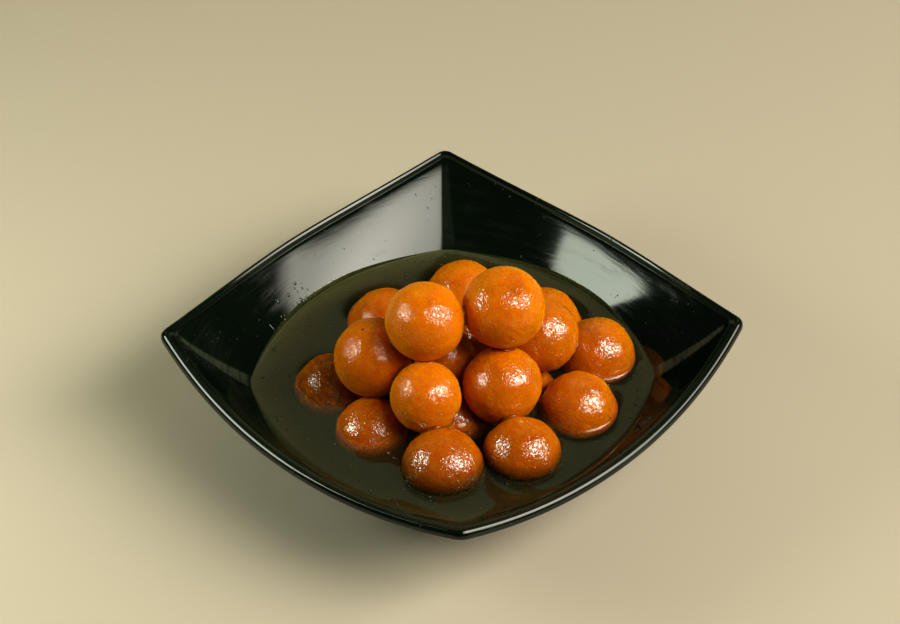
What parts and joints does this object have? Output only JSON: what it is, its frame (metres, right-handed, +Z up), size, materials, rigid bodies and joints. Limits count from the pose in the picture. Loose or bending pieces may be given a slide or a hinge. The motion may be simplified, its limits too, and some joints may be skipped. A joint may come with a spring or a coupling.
{
  "type": "bowl of gulab jamun",
  "caption": "Square deep bowl of gulab jamun: soft fried milk balls heaped in dark sugar syrup, in a glossy black bowl with raised corners and bowed sides.",
  "frame": {"origin": "centre of the bowl's foot on the surface that it stands on", "axes": "+Z up; X and Y across the bowl's sides, so that its four corners point along the diagonals"},
  "size_m": [0.1764, 0.1764, 0.0785],
  "materials": {
    "black_melamine": "glossy moulded black melamine",
    "sugar_syrup": "clear dark sugar syrup, still and wet",
    "fried_skin": "soft fried skin soaked and glazed with syrup"
  },
  "bodies": {
    "root": {"bowl": "black_melamine", "syrup": "sugar_syrup", "gulab_jamun_01": "fried_skin", "gulab_jamun_02": "fried_skin", "gulab_jamun_03": "fried_skin", "gulab_jamun_04": "fried_skin", "gulab_jamun_05": "fried_skin", "gulab_jamun_06": "fried_skin", "gulab_jamun_07": "fried_skin", "gulab_jamun_08": "fried_skin", "gulab_jamun_09": "fried_skin", "gulab_jamun_10": "fried_skin", "gulab_jamun_11": "fried_skin", "gulab_jamun_12": "fried_skin", "gulab_jamun_13": "fried_skin", "gulab_jamun_14": "fried_skin", "gulab_jamun_15": "fried_skin", "gulab_jamun_16": "fried_skin", "gulab_jamun_17": "fried_skin", "gulab_jamun_18": "fried_skin", "gulab_jamun_19": "fried_skin", "gulab_jamun_20": "fried_skin"}
  },
  "joints": []
}
